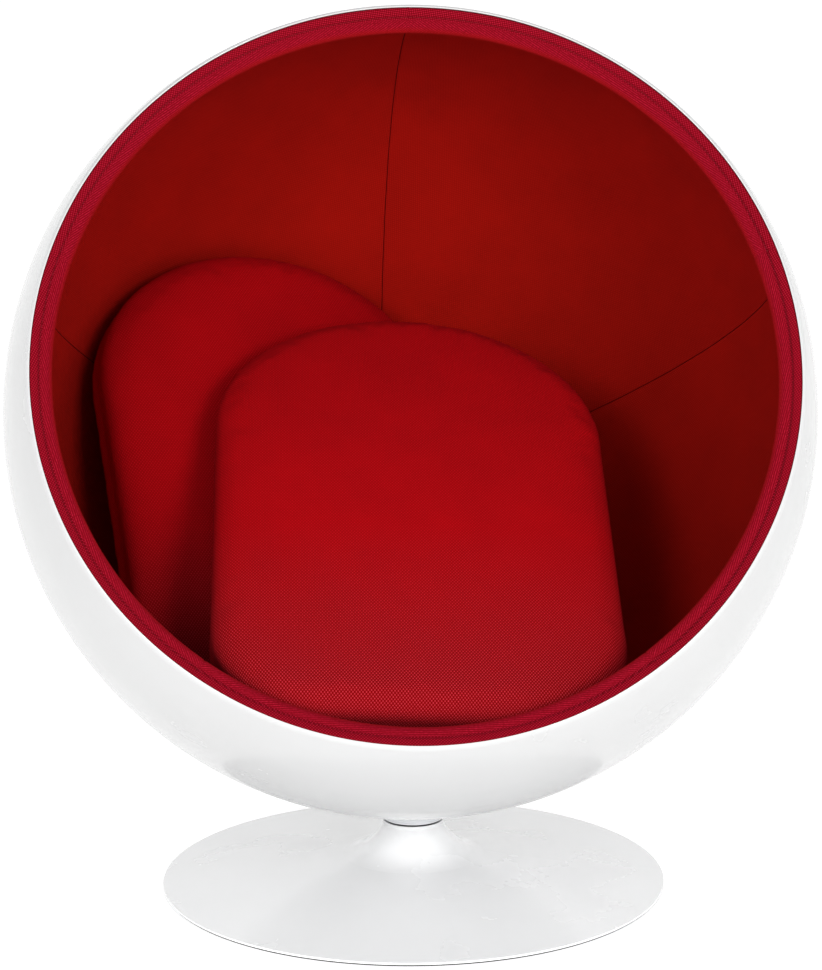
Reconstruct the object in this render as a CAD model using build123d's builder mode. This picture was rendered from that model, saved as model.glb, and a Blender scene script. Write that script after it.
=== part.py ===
from build123d import *
from math import atan2, cos, degrees, radians, sin, sqrt
import os

# A ball-shaped lounge chair on a round swivel pedestal, in millimetres.
# The floor is Z = 0, the ball swivels about +Z, and its opening faces -Y, tilted up.

# ---- Ball: a moulded shell with a round opening -------------------------------------
ball_radius = 550
opening_tilt = 25  # degrees that the opening faces upwards
rim_angle = 65  # half the angle of the opening, seen from the ball's centre
shell_wall = 8

# ---- Lining: foam on the shell, under a cap sewn from equal panels ------------------
foam_thickness = 10.5
lining_thickness = 1.5
panel_count = 5
seam_gap = 0.6  # dip between two panels where they are sewn
cap_tilt = 22  # the cap is glued in a few degrees off the opening's axis
cap_turn = 2.5

# ---- Rim upholstery: a flat strip, a stitched groove and a padded roll --------------
strip_proud = 1  # strip's face in front of the rim's centre line
strip_width = 10
roll_radius = 10
roll_start = 50  # degrees round the roll where it rises out of the stitched groove
roll_end = 225  # degrees round the roll where it fades into the lining
trim_depth = 52
cover_thickness = 1.5
joint_gap = 0.5  # between two sewn lengths of the rim cover

# ---- Loose cushions: both from one pattern ------------------------------------------
side_room = 520  # by which the cushions are narrower than the lined ball
end_room = 292  # by which they are shorter
middle_offset = 23  # from half way to where both faces are highest, nearer the square end
corner_radius = 142  # at the square end
shoulder_spread = 44  # of the two shoulder arcs' centres, each side of the middle
crown_extra = 70  # by which the round end's radius is larger than the shoulders'
boxing_height = 88
crown_height = 15  # swell of each face above its edge
edge_radius = 30
drawn_in = 5  # waist of the sides
crown_steps = 4  # sections through each face's swell
edge_steps = 3  # sections round each edge
cushion_cover = 2
seam_height = 26  # how far the sewn seam lies behind the middle of the side
zip_length = 260
zip_width = 9
slider_length = 14
slider_height = 3

# Middle of each square end's upper edge, seen from the ball's centre: how far up and
# how far to the right it lies, and how far it stays from the lining.
seat_bearing = (-39.73, -0.08)
seat_gap = 41.1
seat_incline = 34.1
seat_turn = 8.1
seat_lean = -7.2
back_bearing = (-75.65, -62.35)
back_gap = 90.5
back_incline = 55.2
back_turn = 28.5
back_lean = -8.0

# ---- Swivel: a spindle under the ball turns in a hub in the pedestal ----------------
spindle_radius = 15
spindle_tail = 5  # below the circlip
spindle_chamfer = 1
running_clearance = 0.05
thrust_clearance = 0.1
head_radius = 37
spindle_head = 18  # from its underside to the ball
plate_radius = 70  # plate inside the shell that the spindle is screwed to
plate_thickness = 8
mount_circle = 25
mount_screw_radius = 4
mount_screw_head = 7.5
mount_screw_grip = 14  # length of screw in the spindle's head
pocket_clearance = 0.5  # round the plate, in the lining's foam
collar_wall = 5
collar_gap = 2  # above the pedestal's neck
bush_wall = 4
bush_flange_radius = 24
bush_flange = 2
upper_bush_length = 24
lower_bush_bottom = 34
lower_bush_length = 22
thrust_washer_radius = 33
thrust_washer_thickness = 2.9
circlip_radius = 18
circlip_thickness = 1.3
circlip_groove = 1.4  # depth in the spindle
circlip_opening = 8
retaining_washer_thickness = 1.4
fit_gap = 0.05

# ---- Pedestal: a spun trumpet over a ballast disc -----------------------------------
pedestal_radius = 351
pedestal_edge_height = 5
pedestal_rise = 4  # degrees of slope at the edge
pedestal_shoulder = (98, 38.3)  # radius and height where the flat flare turns up
neck_radius = 42
neck_height = 87
neck_straight = 5
pedestal_wall = 3
foot_ring_width = 13
foot_ring_inset = 2
hub_flange_radius = 65
hub_flange = 8
hub_barrel_radius = 30
hub_head_height = 15
hub_cone = 10
hub_rib = 6
hub_rib_height = 30
ballast_radius = 240
ballast_thickness = 8
ballast_clearance = 3  # above the floor
ballast_hole_radius = 24
ballast_circle = 48
ballast_screw_radius = 5
ballast_screw_head_radius = 8
ballast_screw_head = 5.3
ballast_chamfer = 1
screw_socket_radius = 4.5
screw_socket_depth = 3.5
screw_clearance = 0.2
screw_count = 4

# ---- Worked out from the sizes above ------------------------------------------------
thrust_washer_bottom = neck_height + bush_flange
head_underside = thrust_washer_bottom + thrust_washer_thickness + thrust_clearance
head_top = head_underside + spindle_head
ball_height = head_top + ball_radius  # the ball's centre above the floor
collar_bottom = neck_height + collar_gap
bore_radius = spindle_radius + running_clearance
hub_bore = bore_radius + bush_wall
hub_barrel_top = neck_height - hub_head_height - hub_cone
retaining_washer_bottom = lower_bush_bottom - thrust_clearance - retaining_washer_thickness
circlip_bottom = retaining_washer_bottom - circlip_thickness
spindle_bottom = circlip_bottom - spindle_tail
ballast_top = ballast_clearance + ballast_thickness
flange_top = ballast_top + hub_flange

shell_inside = ball_radius - shell_wall
lining_outside = shell_inside - foam_thickness
lining_inside = lining_outside - lining_thickness
strip_inside = shell_inside - strip_width
plate_top = ball_height - shell_inside + plate_thickness

cushion_width = 2 * lining_inside - side_room
cushion_length = 2 * lining_inside - end_room
cushion_middle = cushion_length / 2 - middle_offset
half_width = cushion_width / 2
half_boxing = boxing_height / 2
shoulder_radius = half_width - shoulder_spread
crown_radius = shoulder_radius + crown_extra

centre = Vector(0, 0, ball_height)
across = Vector(1, 0, 0)


def facing(tilt, turn=0):
    """A horizontal -Y direction tilted up, then turned about the vertical."""
    return Vector(0, -cos(radians(tilt)), sin(radians(tilt))).rotate(Axis.Z, turn)


opening_direction = facing(opening_tilt)
opening_axis = Axis(centre, opening_direction)
pole_angle = rim_angle - 180


def rim_plane(angle=0):
    """The half plane through the opening's axis, at an angle round the opening.

    Its X runs from the ball's centre to the rim and its Y straight out of the rim.
    """
    upward = opening_direction.cross(across)
    radial = across * cos(radians(angle)) + upward * sin(radians(angle))
    to_rim = radial * sin(radians(rim_angle)) + opening_direction * cos(radians(rim_angle))
    out = opening_direction * sin(radians(rim_angle)) - radial * cos(radians(rim_angle))
    return Plane(origin=centre, x_dir=to_rim, z_dir=to_rim.cross(out))


def save(piece, name):
    """Label a finished piece and write it under its own name."""
    piece.part.label = name
    export_step(piece.part, f"parts/{name}.step")


os.makedirs("parts", exist_ok=True)


# ==== Ball ===========================================================================


def layer_profile(outside, inside):
    """Section between two spheres, from the pole to the rim upholstery."""
    with BuildSketch(Plane.XY) as section:
        with BuildLine():
            outer = CenterArc((0, 0), outside, pole_angle, -pole_angle)
            inner = CenterArc((0, 0), inside, pole_angle, -pole_angle)
            Line(outer @ 0, inner @ 0)
            Line(outer @ 1, inner @ 1)
        make_face()
        with Locations((outside, -trim_depth)):
            Rectangle(outside, outside, align=(Align.CENTER, Align.MIN), mode=Mode.SUBTRACT)
    return section.sketch


def screw_circles(radius, circle, height):
    """Circles for the screws of a round pattern about the swivel's axis."""
    with BuildSketch(Plane.XY.offset(height)) as circles:
        with PolarLocations(circle, screw_count, start_angle=45):
            Circle(radius)
    return circles.sketch


def ring(outer, inner, height):
    """Outline of a plain ring about the swivel's axis."""
    with BuildSketch(Plane.XY.offset(height)) as outline:
        Circle(outer)
        Circle(inner, mode=Mode.SUBTRACT)
    return outline.sketch


with BuildPart() as shell:
    with BuildSketch(rim_plane()):
        with BuildLine():
            outer = CenterArc((0, 0), ball_radius, pole_angle, -pole_angle)
            inner = CenterArc((0, 0), shell_inside, pole_angle, -pole_angle)
            Line(outer @ 0, inner @ 0)
            ThreePointArc(outer @ 1, (ball_radius - shell_wall / 2, shell_wall / 2), inner @ 1)
        make_face()
    revolve(axis=opening_axis)
    extrude(
        screw_circles(mount_screw_radius + screw_clearance, mount_circle, head_top - shell_wall),
        amount=3 * shell_wall, mode=Mode.SUBTRACT,
    )
save(shell, "shell")

with BuildPart() as lining_foam:
    with BuildSketch(rim_plane()):
        add(layer_profile(shell_inside, lining_outside))
    revolve(axis=opening_axis)
    with Locations((0, 0, head_top)):
        Cylinder(
            plate_radius + pocket_clearance,
            plate_top - head_top + pocket_clearance,
            align=(Align.CENTER, Align.CENTER, Align.MIN),
            mode=Mode.SUBTRACT,
        )
save(lining_foam, "lining_foam")

# The cap's panels are gores that meet at a pole opposite the opening.
cap_direction = facing(cap_tilt, cap_turn)
cap_axis = Axis(centre, cap_direction)
cap_up = cap_direction.cross(across).normalized()
seam_angle = degrees(seam_gap / lining_inside)

for number in range(panel_count):
    start = 90 + number * 360 / panel_count + seam_angle / 2
    edge_direction = cap_up.rotate(Axis((0, 0, 0), cap_direction), start - 90)
    with BuildPart() as wedge:
        with BuildSketch(Plane(centre, x_dir=edge_direction, z_dir=edge_direction.cross(cap_direction))):
            Circle(ball_radius)
            with Locations((-ball_radius, 0)):
                Rectangle(2 * ball_radius, 2 * ball_radius, mode=Mode.SUBTRACT)
        revolve(axis=cap_axis, revolution_arc=360 / panel_count - seam_angle)
    with BuildPart() as lining_panel:
        with BuildSketch(rim_plane()):
            add(layer_profile(lining_outside, lining_inside))
        revolve(axis=opening_axis)
        add(wedge.part, mode=Mode.INTERSECT)
    save(lining_panel, f"lining_panel_{number + 1}")


# ==== Rim upholstery =================================================================


def trim_profile(inset):
    """Section of the rim upholstery, drawn in by the thickness of its cover."""
    roll_centre = (strip_inside - roll_radius, strip_proud - roll_radius)
    fade_end = (sqrt(lining_inside**2 - trim_depth**2), -trim_depth)
    back = shell_inside + roll_radius
    with BuildSketch(Plane.XY) as section:
        with BuildLine():
            roll = CenterArc(roll_centre, roll_radius, roll_start, roll_end - roll_start)
            fade = TangentArc(roll @ 1, fade_end, tangent=roll % 1)
            Polyline(roll @ 0, (strip_inside, strip_proud), (back, strip_proud))
            Polyline((back, strip_proud), (back, -trim_depth), fade @ 1)
        make_face()
        Circle(shell_inside, mode=Mode.INTERSECT)
        if inset:
            offset(amount=-inset)
    return section.sketch


with BuildPart() as rim_foam:
    with BuildSketch(rim_plane()):
        add(trim_profile(cover_thickness))
    revolve(axis=opening_axis)
save(rim_foam, "rim_foam")

joint_angle = degrees(joint_gap / lining_inside)
for number in range(panel_count):
    with BuildPart() as rim_cover:
        with BuildSketch(rim_plane(90 + number * 360 / panel_count + joint_angle / 2)):
            add(trim_profile(0))
            add(trim_profile(cover_thickness), mode=Mode.SUBTRACT)
        revolve(axis=opening_axis, revolution_arc=360 / panel_count - joint_angle)
    save(rim_cover, f"rim_cover_{number + 1}")


# ==== Cushions =======================================================================

def tongue(scale, inset):
    """Cushion outline with one square end and one round end, scaled about its middle."""
    step_along = sqrt(crown_extra**2 - shoulder_spread**2)
    turn = degrees(atan2(step_along, shoulder_spread))
    crown_y = cushion_length - crown_radius

    def scaled(x, y):
        return (scale * x, cushion_middle + scale * (y - cushion_middle))

    with BuildSketch(Plane.XY) as outline:
        with BuildLine():
            corner = CenterArc(
                scaled(half_width - corner_radius, corner_radius),
                scale * (corner_radius - inset), -90, 90,
            )
            shoulder = CenterArc(
                scaled(shoulder_spread, crown_y + step_along),
                scale * (shoulder_radius - inset), 0, turn,
            )
            Line(corner @ 1, shoulder @ 0)
            Line(scaled(0, inset), corner @ 0)
            mirror(about=Plane.YZ)
            CenterArc(
                scaled(0, crown_y),
                scale * (crown_radius - inset), turn, 180 - 2 * turn,
            )
        make_face()
    return outline.sketch


def cushion_sections():
    """Scale and height of each section through half the cushion, from its crown down."""
    flat = 1 - edge_radius / half_width
    sections = []
    for step in range(crown_steps):
        part_way = sin(radians(90 * (step + 0.5) / crown_steps))
        sections.append((part_way * flat, half_boxing + crown_height * (1 - part_way**2)))
    for step in range(edge_steps + 1):
        angle = radians(90 * step / edge_steps)
        scale = 1 - edge_radius * (1 - sin(angle)) / half_width
        sections.append((scale, half_boxing - edge_radius * (1 - cos(angle))))
    return sections


def cushion_form(base, inset):
    """A crowned cushion with rounded edges and drawn-in sides, smaller by an inset."""
    upper = cushion_sections()
    waist = [(1 - drawn_in / half_width, 0)]
    lower = [(scale, -height) for scale, height in reversed(upper)]
    squeeze = 1 - inset / (half_boxing + crown_height)
    with BuildPart() as form:
        for scale, height in upper + waist + lower:
            with BuildSketch(base.offset(height * squeeze - half_boxing)):
                add(tongue(scale, inset))
        loft(ruled=True)
    return form.part


def cushion_plane(bearing, gap, incline, turn, lean):
    """Plane of a cushion's face: inclined back, turned to one side and leaned over."""
    normal = Vector(0, -sin(radians(incline)), cos(radians(incline))).rotate(Axis.Z, turn)
    width_direction = across.rotate(Axis.Z, turn).rotate(Axis((0, 0, 0), normal), lean)
    place = centre + facing(*bearing) * (lining_inside - gap)
    return Plane(origin=place, x_dir=width_direction, z_dir=normal)


def cushion(base, name):
    """Foam core, two cover panels, zip and slider of one loose cushion.

    The face's cloth goes down over the sides to one seam near the back, and the zip is
    set beside that seam at the square end.
    """
    outside = cushion_form(base, 0)
    seam = base.offset(-half_boxing - seam_height)

    with BuildPart() as foam:
        add(cushion_form(base, cushion_cover))
    save(foam, f"{name}_foam")

    with BuildPart() as cover:
        add(outside)
        add(foam.part, mode=Mode.SUBTRACT)

    with BuildPart() as zip_zone:
        with Locations(seam.location):
            Box(zip_length, cushion_length / 4, zip_width, align=(Align.CENTER, Align.CENTER, Align.MIN))

    with BuildPart() as face_panel:
        add(cover.part)
        split(bisect_by=seam, keep=Keep.TOP)
        add(zip_zone.part, mode=Mode.SUBTRACT)
    save(face_panel, f"{name}_face_panel")

    with BuildPart() as back_panel:
        add(cover.part)
        split(bisect_by=seam, keep=Keep.BOTTOM)
    save(back_panel, f"{name}_back_panel")

    with BuildPart() as zip_tape:
        add(cover.part)
        add(zip_zone.part, mode=Mode.INTERSECT)
    save(zip_tape, f"{name}_zip")

    with BuildPart() as slider:
        with Locations(seam.location * Location((zip_length / 2 - slider_length, 0, 0))):
            Box(slider_length, 2 * slider_height, zip_width, align=(Align.CENTER, Align.CENTER, Align.MIN))
        add(outside, mode=Mode.SUBTRACT)
    save(slider, f"{name}_zip_slider")


seat_plane = cushion_plane(seat_bearing, seat_gap, seat_incline, seat_turn, seat_lean)
back_plane = cushion_plane(back_bearing, back_gap, back_incline, back_turn, back_lean)
cushion(seat_plane, "seat_cushion")
cushion(back_plane, "back_cushion")


# ==== Swivel =========================================================================


with BuildPart() as spindle:
    with BuildSketch(Plane.XY.offset(spindle_bottom)):
        Circle(spindle_radius)
    extrude(amount=head_underside - spindle_bottom)
    chamfer(spindle.faces().sort_by(Axis.Z)[0].edges(), length=spindle_chamfer)
    with BuildSketch(Plane.XY.offset(head_underside)):
        Circle(head_radius)
    extrude(amount=head_top - head_underside + shell_wall)
    with Locations(centre):
        Sphere(ball_radius, mode=Mode.SUBTRACT)
    extrude(
        screw_circles(mount_screw_radius, mount_circle, head_top - mount_screw_grip),
        amount=2 * mount_screw_grip, mode=Mode.SUBTRACT,
    )
    extrude(
        ring(2 * spindle_radius, spindle_radius - circlip_groove, circlip_bottom - fit_gap / 2),
        amount=circlip_thickness + fit_gap, mode=Mode.SUBTRACT,
    )
save(spindle, "spindle")

with BuildPart() as collar:
    extrude(
        ring(head_radius + collar_wall, head_radius, collar_bottom),
        amount=head_top + shell_wall - collar_bottom,
    )
    with Locations(centre):
        Sphere(ball_radius, mode=Mode.SUBTRACT)
    fillet(collar.edges().group_by(Axis.Z)[0], radius=collar_wall / 4)
save(collar, "collar")

with BuildPart() as mounting_plate:
    with BuildSketch(Plane.XY.offset(head_top)):
        Circle(plate_radius)
    extrude(amount=plate_top - head_top)
    with Locations(centre):
        Sphere(shell_inside, mode=Mode.INTERSECT)
    extrude(
        screw_circles(mount_screw_radius + screw_clearance, mount_circle, head_top),
        amount=plate_top, mode=Mode.SUBTRACT,
    )
    extrude(
        screw_circles(mount_screw_head, mount_circle, plate_top),
        amount=mount_screw_radius - mount_screw_head, taper=45, mode=Mode.SUBTRACT,
    )
save(mounting_plate, "mounting_plate")

with BuildPart() as mounting_screws:
    screw_bottom = head_top - mount_screw_grip
    extrude(
        screw_circles(mount_screw_radius, mount_circle, screw_bottom),
        amount=plate_top - screw_bottom,
    )
    extrude(
        screw_circles(mount_screw_head, mount_circle, plate_top),
        amount=mount_screw_radius - mount_screw_head, taper=45,
    )
save(mounting_screws, "mounting_screws")

with BuildPart() as retaining_washer:
    extrude(
        ring(circlip_radius, bore_radius, retaining_washer_bottom),
        amount=retaining_washer_thickness,
    )
save(retaining_washer, "retaining_washer")

with BuildPart() as circlip:
    extrude(
        ring(circlip_radius, spindle_radius - circlip_groove, circlip_bottom),
        amount=circlip_thickness,
    )
    with Locations((circlip_radius, 0, circlip_bottom)):
        Box(2 * circlip_radius, circlip_opening, 4 * circlip_thickness, mode=Mode.SUBTRACT)
save(circlip, "circlip")

with BuildPart() as upper_bush:
    extrude(
        ring(hub_bore, bore_radius, neck_height - upper_bush_length), amount=upper_bush_length
    )
    extrude(ring(bush_flange_radius, bore_radius, neck_height), amount=bush_flange)
save(upper_bush, "upper_bush")

with BuildPart() as lower_bush:
    extrude(ring(hub_bore, bore_radius, lower_bush_bottom), amount=lower_bush_length)
save(lower_bush, "lower_bush")

with BuildPart() as thrust_washer:
    extrude(
        ring(thrust_washer_radius, bore_radius, thrust_washer_bottom),
        amount=thrust_washer_thickness,
    )
save(thrust_washer, "thrust_washer")


# ==== Pedestal =======================================================================


def trumpet_profile():
    """Section of the spun trumpet: a long flat flare, a tight one and a straight neck."""
    start_slope = (-cos(radians(pedestal_rise)), sin(radians(pedestal_rise)))
    with BuildSketch(Plane.XZ) as section:
        with BuildLine():
            rim = (pedestal_radius, pedestal_edge_height)
            flare = TangentArc(rim, pedestal_shoulder, tangent=start_slope)
            turn_up = TangentArc(flare @ 1, (neck_radius, neck_height - neck_straight), tangent=flare % 1)
            Line(turn_up @ 1, (neck_radius, neck_height))
            offset(amount=pedestal_wall, side=Side.LEFT)
        make_face()
    return section.sketch


with BuildPart() as pedestal:
    add(trumpet_profile())
    revolve(axis=Axis.Z)
save(pedestal, "pedestal")

with BuildPart() as foot_ring:
    with BuildSketch(Plane.XZ):
        ring_outside = pedestal_radius - foot_ring_inset
        with BuildLine():
            Polyline(
                (ring_outside, 0),
                (ring_outside - foot_ring_width, 0),
                (ring_outside - foot_ring_width, pedestal_edge_height),
                (ring_outside, pedestal_edge_height),
                close=True,
            )
        make_face()
        add(trumpet_profile(), mode=Mode.SUBTRACT)
    revolve(axis=Axis.Z)
save(foot_ring, "foot_ring")

with BuildPart() as hub:
    with BuildSketch(Plane.XZ):
        hub_head_radius = neck_radius - pedestal_wall
        with BuildLine():
            Polyline(
                (hub_bore, ballast_top),
                (hub_flange_radius, ballast_top),
                (hub_flange_radius, flange_top),
                (hub_barrel_radius, flange_top),
                (hub_barrel_radius, hub_barrel_top),
                (hub_head_radius, hub_barrel_top + hub_cone),
                (hub_head_radius, neck_height),
                (hub_bore, neck_height),
                close=True,
            )
        make_face()
    revolve(axis=Axis.Z)
    rib_root = (hub_bore + hub_barrel_radius) / 2
    with BuildSketch(*[Plane.XZ.rotated((0, 0, turn)) for turn in range(0, 360, 360 // screw_count)]):
        with BuildLine():
            Polyline(
                (rib_root, flange_top),
                (hub_flange_radius, flange_top),
                (hub_barrel_radius, flange_top + hub_rib_height),
                (rib_root, flange_top + hub_rib_height),
                close=True,
            )
        make_face()
    extrude(amount=hub_rib / 2, both=True)
    extrude(
        screw_circles(ballast_screw_radius, ballast_circle, ballast_top),
        amount=hub_flange, mode=Mode.SUBTRACT,
    )
save(hub, "hub")

with BuildPart() as ballast_plate:
    extrude(ring(ballast_radius, ballast_hole_radius, ballast_clearance), amount=ballast_thickness)
    outer_edges = ballast_plate.edges().filter_by(GeomType.CIRCLE).group_by(Edge.length)[-1]
    chamfer(outer_edges, length=ballast_chamfer)
    extrude(
        screw_circles(ballast_screw_radius + screw_clearance, ballast_circle, ballast_clearance),
        amount=ballast_thickness, mode=Mode.SUBTRACT,
    )
    extrude(
        screw_circles(
            ballast_screw_head_radius + screw_clearance, ballast_circle, ballast_clearance
        ),
        amount=ballast_screw_head, mode=Mode.SUBTRACT,
    )
save(ballast_plate, "ballast_plate")

with BuildPart() as ballast_screws:
    extrude(
        screw_circles(ballast_screw_head_radius, ballast_circle, ballast_clearance),
        amount=ballast_screw_head,
    )
    extrude(
        screw_circles(ballast_screw_radius, ballast_circle, ballast_clearance),
        amount=flange_top - ballast_clearance,
    )
    with BuildSketch(Plane.XY.offset(ballast_clearance)):
        with PolarLocations(ballast_circle, screw_count, start_angle=45):
            RegularPolygon(screw_socket_radius, 6)
    extrude(amount=screw_socket_depth, mode=Mode.SUBTRACT)
save(ballast_screws, "ballast_screws")
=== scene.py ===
import math

import bmesh
import bpy
import numpy as np
from mathutils import Matrix, Vector, kdtree, noise


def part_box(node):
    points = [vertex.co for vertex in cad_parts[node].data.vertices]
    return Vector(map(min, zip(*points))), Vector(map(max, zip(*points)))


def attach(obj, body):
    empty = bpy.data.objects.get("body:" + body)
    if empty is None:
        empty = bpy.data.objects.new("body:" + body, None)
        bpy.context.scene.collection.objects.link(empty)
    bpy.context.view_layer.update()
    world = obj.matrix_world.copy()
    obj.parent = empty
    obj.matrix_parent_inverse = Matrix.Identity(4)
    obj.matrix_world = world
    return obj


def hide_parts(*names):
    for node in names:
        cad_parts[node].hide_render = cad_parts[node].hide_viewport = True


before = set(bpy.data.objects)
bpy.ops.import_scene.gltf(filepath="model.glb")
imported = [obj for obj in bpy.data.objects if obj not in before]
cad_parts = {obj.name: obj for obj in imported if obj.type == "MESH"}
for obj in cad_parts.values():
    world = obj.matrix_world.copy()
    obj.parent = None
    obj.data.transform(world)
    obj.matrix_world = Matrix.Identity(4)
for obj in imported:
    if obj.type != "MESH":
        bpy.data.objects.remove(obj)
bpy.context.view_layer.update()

# ---- Ball, opening and lining; all sizes are in metres and all angles in degrees -----
OPENING_TILT = 25
RIM_ANGLE = 65
SHELL_WALL = 0.008
SHELL_ROWS = 64
SHELL_COLUMNS = 360
LINING_INSIDE = 0.530
LINING_END = RIM_ANGLE + 4  # from the opening's axis, under the rim's cover
CAP_TILT = 22  # the lining's pole is a few degrees off the opening's axis
CAP_TURN = 2.5
PANELS = 5
SEAM_ANGLE = 360 / PANELS
FIRST_SEAM = 90
LINING_ROWS = 70
LINING_COLUMNS = 60
LINING_SEAM = 0.0009  # how deep the gores dip at a seam
LINING_FOLD = 0.0006
LINING_RIPPLE = 0.0003
RIPPLE_SCALE = 40
GORE_TIP = 0.004  # radians from the pole
SEAM_SPREAD = 0.0018  # how far a dip at a seam or joint reaches

# ---- Rim: lip, strip, stitched groove, roll ------------------------------------------
LIP_WIDTH = 0.0036
LIP_PROUD = 0.003
LIP_BACK = 0.006
LIP_OUTER_SHARE = 0.75  # share of the lip's width that is rounded towards the outside
REBATE_DEPTH = 0.008
REBATE_BEVEL = 0.0006
STRIP_WIDTH = 0.012
STRIP_PROUD = 0.001
STRIP_CROWN = 0.0006
STRIP_FOLDS = ((0, 0.0025), (0.02, 0.0008), (0.08, 0), (0.25, 0), (0.5, 0), (0.75, 0), (0.92, 0))
GROOVE_DEPTH = 0.0035
GROOVE_SHOULDER = 0.0008
EDGE_GAP = 0.0006
ROLL_RADIUS = 0.0107
ROLL_START = 62  # round the roll, where it rises out of the groove
ROLL_END = 225  # round the roll, where it fades into the lining
ROLL_STEPS = 14
TAIL_STEPS = 8
TRIM_DEPTH = 0.052
TRIM_TUCK = 0.004
JOINT_DIP = 0.0008
RIM_RIPPLE = 0.00035
RIM_PADDING = 0.0030  # from the cover down to the foam
RIM_COLUMNS = 260
PADDING_COLUMNS = 240
PADDING_GAP = 0.001
STITCH_PITCH = 0.0055
STITCH_RADIUS = 0.0005
STITCH_HEIGHT = 0.0009
STITCH_BOW = 0.0006
STITCH_GAP = 0.14  # share of the pitch at each end where the thread is under the cloth

# ---- Cushions --------------------------------------------------------------------------
CUSHION_WIDTH = 0.540
CUSHION_LENGTH = 0.768
FILLED_LENGTH = 0.763  # the cloth draws in a little when it is filled
CUSHION_MIDDLE = 0.361  # from the square end
CORNER_RADIUS = 0.142
SHOULDER_RADIUS = 0.226
CROWN_RADIUS = 0.296
OUTLINE_POINTS = 960
BOXING = 0.088
CROWN = 0.015
EDGE_RADIUS = 0.026
FACE_RINGS = 14
EDGE_STEPS = 8
DRAWN_IN = 0.004
SEAM_HEIGHT = 0.026  # below the middle of the side
SEAM_LOOPS = (-0.005, -0.0025, 0, 0.0025, 0.005)
SEAM_DEPTH = 0.0022
SEAM_REACH = 0.004
PUCKER = 0.0022
PUCKER_REACH = 0.040
PUCKERS_ALONG = 55
PUCKERS_UP = 9
SWELL_ROOM = 0.003  # how much lower a face starts than it ends up
SWELL_CAP = 0.005  # the furthest that a point may move
VOXEL = 0.006
SMOOTHINGS = 6
PRESSURE = 4
FILLING_FRAMES = 20
CORE_DEPTH = 0.005

SEAT_POSE = dict(place=(-0.0005, -0.3760, 0.3475), incline=34.1, turn=8.1, lean=-7.2)
BACK_POSE = dict(place=(-0.0966, -0.0506, 0.2342), incline=55.2, turn=28.5, lean=-8.0)

# ---- Weave, on the UV map in metres ----------------------------------------------------
THREAD_ACROSS = 0.0021
THREAD_ALONG = 0.0027
RIM_THREAD = 0.0020
THREAD_CREST = (-0.15, 0.85)  # from where the ground shows to where a thread is on top
RIB_PITCH = 0.0027
ROLL_FROM = 0.019  # from the rim's outer edge, along the cloth
ROLL_BLEND = 0.003
FADE_FROM = 0.030
FADE_TO = 0.048
# Painted highlight on the seat's threads and painted shade on its ground: full up to the first
# distance along V, gone from the second; the share darkens the ground.
PAINTED_LIGHT_FULL_TO = 0.04
PAINTED_LIGHT_GONE_FROM = 0.31
PAINTED_SHADE_SHARE = 0.62
BLOTCH_SHADE = 0.86
WOBBLE = 1.1
WOBBLE_SCALE = 90
SLUB_SCALE = 420
BLOTCH_SCALE = 9
THREAD_HEIGHT = 0.0005
RIM_THREAD_HEIGHT = 0.0004
BLOTCH_HEIGHT = 0.002

# ---- Camera and studio -----------------------------------------------------------------
IMAGE_HEIGHT = 970
FOCAL_PIXELS = 2562
SENSOR_WIDTH = 36
CAMERA_PLACE = (-0.1691, -3.4578, 1.1749)
CAMERA_YAW = 2.8
CAMERA_PITCH = 10.04
CAMERA_ROLL = -0.36
FLOOR_RADIUS = 7.0
FLOOR_FLAT = (0.5, 3)
FLOOR_CURVE = 2.0
FLOOR_STEPS = 8
FLOOR_SIDES = 96
FLOOR_GREY = 0.4
FLOOR_GLOW = 0.68
WALL_HEIGHT = 5.0
WORLD_STRENGTH = 0.6
LIGHT_TARGET = (0, 0, 0.6)
LIGHT_SIZE = 1.3
DISPLAY_GAMMA = 0.8

# ---- From the frame -----------------------------------------------------------------
shell_low, shell_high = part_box("shell")
BALL_RADIUS = (shell_high[0] - shell_low[0]) / 2
CENTRE = Vector((0, 0, shell_high[2] - BALL_RADIUS))
SHELL_INSIDE = BALL_RADIUS - SHELL_WALL
LIP_INSIDE = BALL_RADIUS - LIP_WIDTH
STRIP_OUTSIDE = LIP_INSIDE - EDGE_GAP
RIM_CIRCLE = STRIP_OUTSIDE * math.sin(math.radians(RIM_ANGLE))


def facing(tilt, turn=0):
    """Direction -Y tilted up and then turned about the vertical."""
    flat = Vector((0, -math.cos(math.radians(tilt)), math.sin(math.radians(tilt))))
    return Matrix.Rotation(math.radians(turn), 3, "Z") @ flat


def frame_round(direction):
    """Right, up and outward directions of a round opening or cap, seen from the front."""
    up = direction.cross(Vector((1, 0, 0))).normalized()
    right = up.cross(direction).normalized()
    return right, up, direction


OPENING = frame_round(facing(OPENING_TILT))
CAP = frame_round(facing(CAP_TILT, CAP_TURN))


# ==== Materials ======================================================================


def new_material(name, colour, roughness, metallic=0.0, coat=0.0):
    """A material with its constant values set on the shader, and its node tree."""
    material = bpy.data.materials.new(name)
    material.use_nodes = True
    shader = material.node_tree.nodes["Principled BSDF"]
    shader.inputs["Base Color"].default_value = (*colour, 1)
    shader.inputs["Roughness"].default_value = roughness
    shader.inputs["Metallic"].default_value = metallic
    shader.inputs["Coat Weight"].default_value = coat
    shader.inputs["Coat Roughness"].default_value = 0.06
    return material, material.node_tree, shader


def maths(tree, operation, first, second=None):
    """One Math node; each input is a socket or a number."""
    node = tree.nodes.new("ShaderNodeMath")
    node.operation = operation
    for socket, value in zip(node.inputs, (first, second)):
        if isinstance(value, bpy.types.NodeSocket):
            tree.links.new(value, socket)
        elif value is not None:
            socket.default_value = value
    return node.outputs[0]


def place_in(tree, space):
    """Texture coordinates: UV is the flat cloth, Object is the piece's own space."""
    return tree.nodes.new("ShaderNodeTexCoord").outputs[space]


def darker(colour, share):
    """A colour scaled down to a share of itself."""
    return tuple(share * c for c in colour)


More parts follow.
